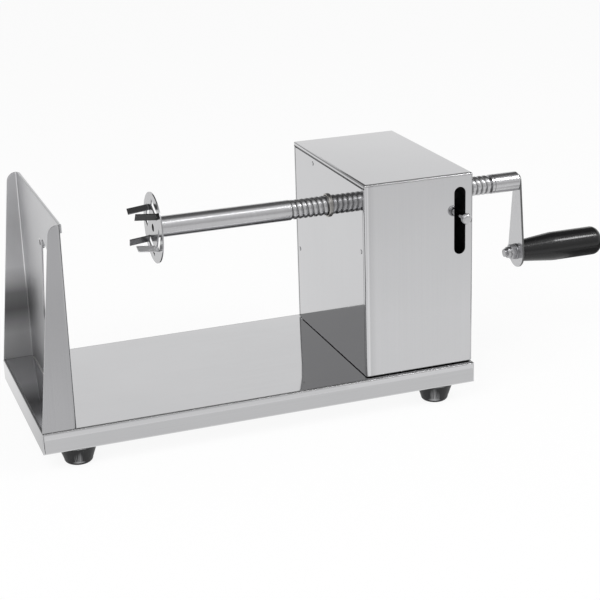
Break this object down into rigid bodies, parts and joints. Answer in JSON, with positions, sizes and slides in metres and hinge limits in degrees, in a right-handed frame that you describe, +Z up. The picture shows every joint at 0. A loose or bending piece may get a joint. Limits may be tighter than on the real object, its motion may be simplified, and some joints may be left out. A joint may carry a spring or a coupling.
{
  "type": "tornado potato cutter",
  "caption": "Hand cranked spiral potato cutter: a screw with a pronged fork pushes a potato against a blade on a bent steel stand; a lever frees the screw.",
  "frame": {"origin": "on the table under the middle of the cutter's bounding box", "axes": "+X along the crank screw towards the crank, +Y from front to rear, +Z up"},
  "size_m": [0.58, 0.202, 0.216],
  "materials": {
    "sheet": "bright brushed stainless sheet",
    "blade_steel": "ground stainless",
    "bright_steel": "polished stainless",
    "screw_steel": "satin stainless",
    "bronze": "plain bearing bronze",
    "dark_steel": "black oxide",
    "fastener": "plain stainless",
    "rubber": "matt black rubber",
    "grip_plastic": "glossy black"
  },
  "bodies": {
    "frame": {"base_plate": "sheet", "foot_front_left": "rubber", "foot_front_right": "rubber", "foot_rear_left": "rubber", "foot_rear_right": "rubber", "foot_washers": "fastener", "foot_screws": "fastener", "foot_nuts": "fastener", "blade_stand": "sheet", "blade": "blade_steel", "blade_bosses": "fastener", "blade_screws": "fastener", "skewer_guide": "blade_steel", "housing_cover": "sheet", "left_end_plate": "sheet", "right_end_plate": "sheet", "left_bush": "bronze", "right_bush": "bronze", "left_rivets": "fastener", "right_rivets": "fastener", "housing_screws": "fastener", "housing_nuts": "fastener", "lever_bracket": "screw_steel", "pivot_pin": "bright_steel", "pivot_clip": "dark_steel"},
    "lever": {"release_lever": "screw_steel", "half_nut": "bronze", "half_nut_screws": "fastener", "release_pin": "bright_steel", "release_nut": "fastener", "release_knob": "bright_steel"},
    "stop": {"stop_washer": "bright_steel"},
    "screw": {"push_tube": "bright_steel", "lead_screw": "screw_steel", "fork_disc": "screw_steel", "crank_hub": "bright_steel", "crank_arm": "screw_steel", "grip_bolt": "fastener", "grip_nut": "fastener", "grip_washer": "fastener"},
    "grip": {"grip": "grip_plastic", "grip_cap": "grip_plastic"}
  },
  "joints": [
    {"name": "screw_feed", "type": "slide", "parent": "frame", "child": "stop", "axis": [1, 0, 0], "range_m": [-0.0581, 0.0745]},
    {"name": "screw_spin", "type": "hinge", "parent": "stop", "child": "screw", "pos_m": [0.01, 0.006, 0.175], "axis": [1, 0, 0], "range_deg": [-4176, 5364]},
    {"name": "grip_turn", "type": "hinge", "parent": "screw", "child": "grip", "pos_m": [0.25, 0.006, 0.104], "axis": [1, 0, 0], "continuous": true},
    {"name": "lever_lift", "type": "hinge", "parent": "frame", "child": "lever", "pos_m": [0.0185, -0.017, 0.187], "axis": [0, -1, 0], "range_deg": [0, 13]}
  ],
  "couplings": [
    {"joint": "screw_feed", "follows": "screw_spin", "m_per_rad": 0.00079577}
  ]
}
